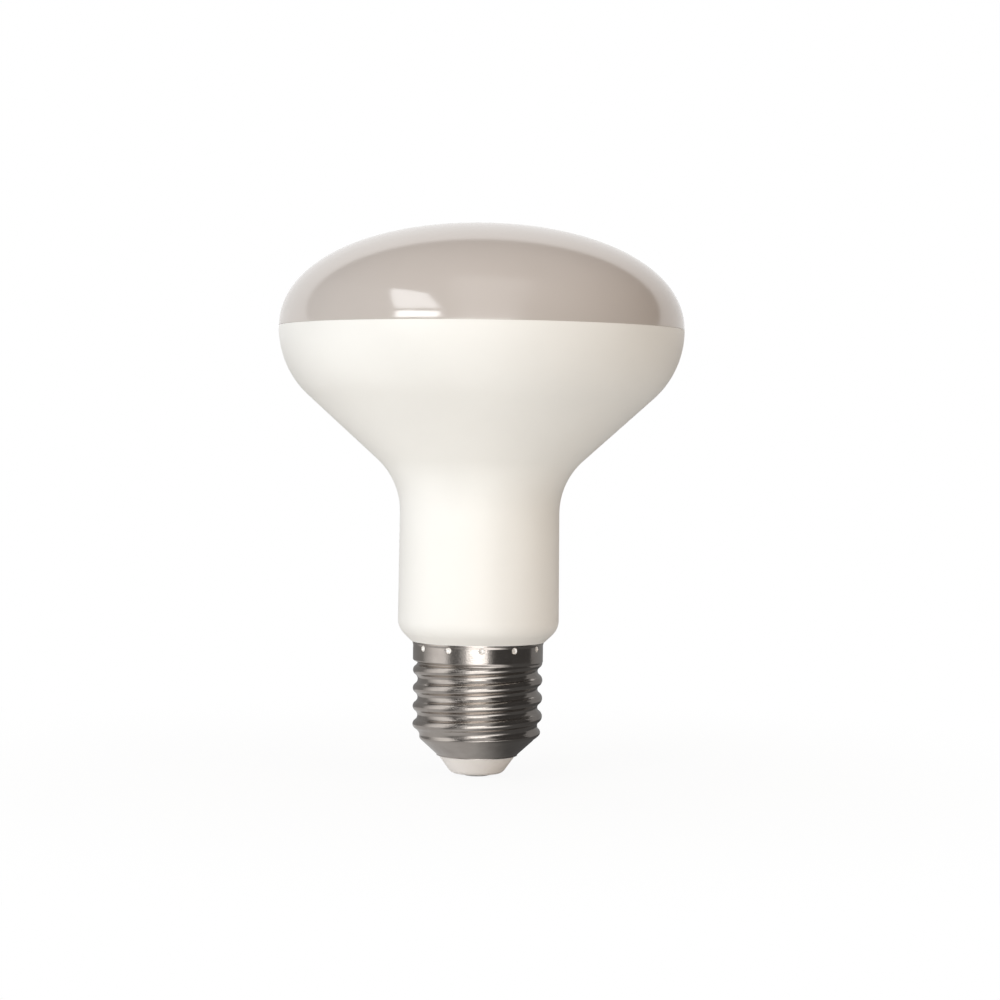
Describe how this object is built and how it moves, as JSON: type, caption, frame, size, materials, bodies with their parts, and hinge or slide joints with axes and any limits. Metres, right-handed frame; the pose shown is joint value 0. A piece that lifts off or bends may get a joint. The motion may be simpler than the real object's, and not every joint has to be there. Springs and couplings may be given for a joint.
{
  "type": "reflector bulb",
  "caption": "Reflector lamp with a wide milky dome on a flared white housing, narrow neck and Edison screw cap; screws into a lampholder and throws its light forward.",
  "frame": {"origin": "centre of the face of the centre contact, at the foot of the screw cap", "axes": "+Z along the lamp's axis from the contact to the crown of the dome; -Y towards the viewer of the picture"},
  "size_m": [0.0808, 0.0808, 0.1102],
  "materials": {
    "milky_dome": "gloss, milky translucent",
    "white_housing": "satin moulded",
    "cap_metal": "nickel plate, lightly worn",
    "cap_insulator": "satin moulded",
    "contact_metal": "plated"
  },
  "bodies": {
    "root": {"diffuser": "milky_dome", "housing": "white_housing", "screw_shell": "cap_metal", "cap_insulator": "cap_insulator", "centre_contact": "contact_metal"}
  },
  "joints": []
}
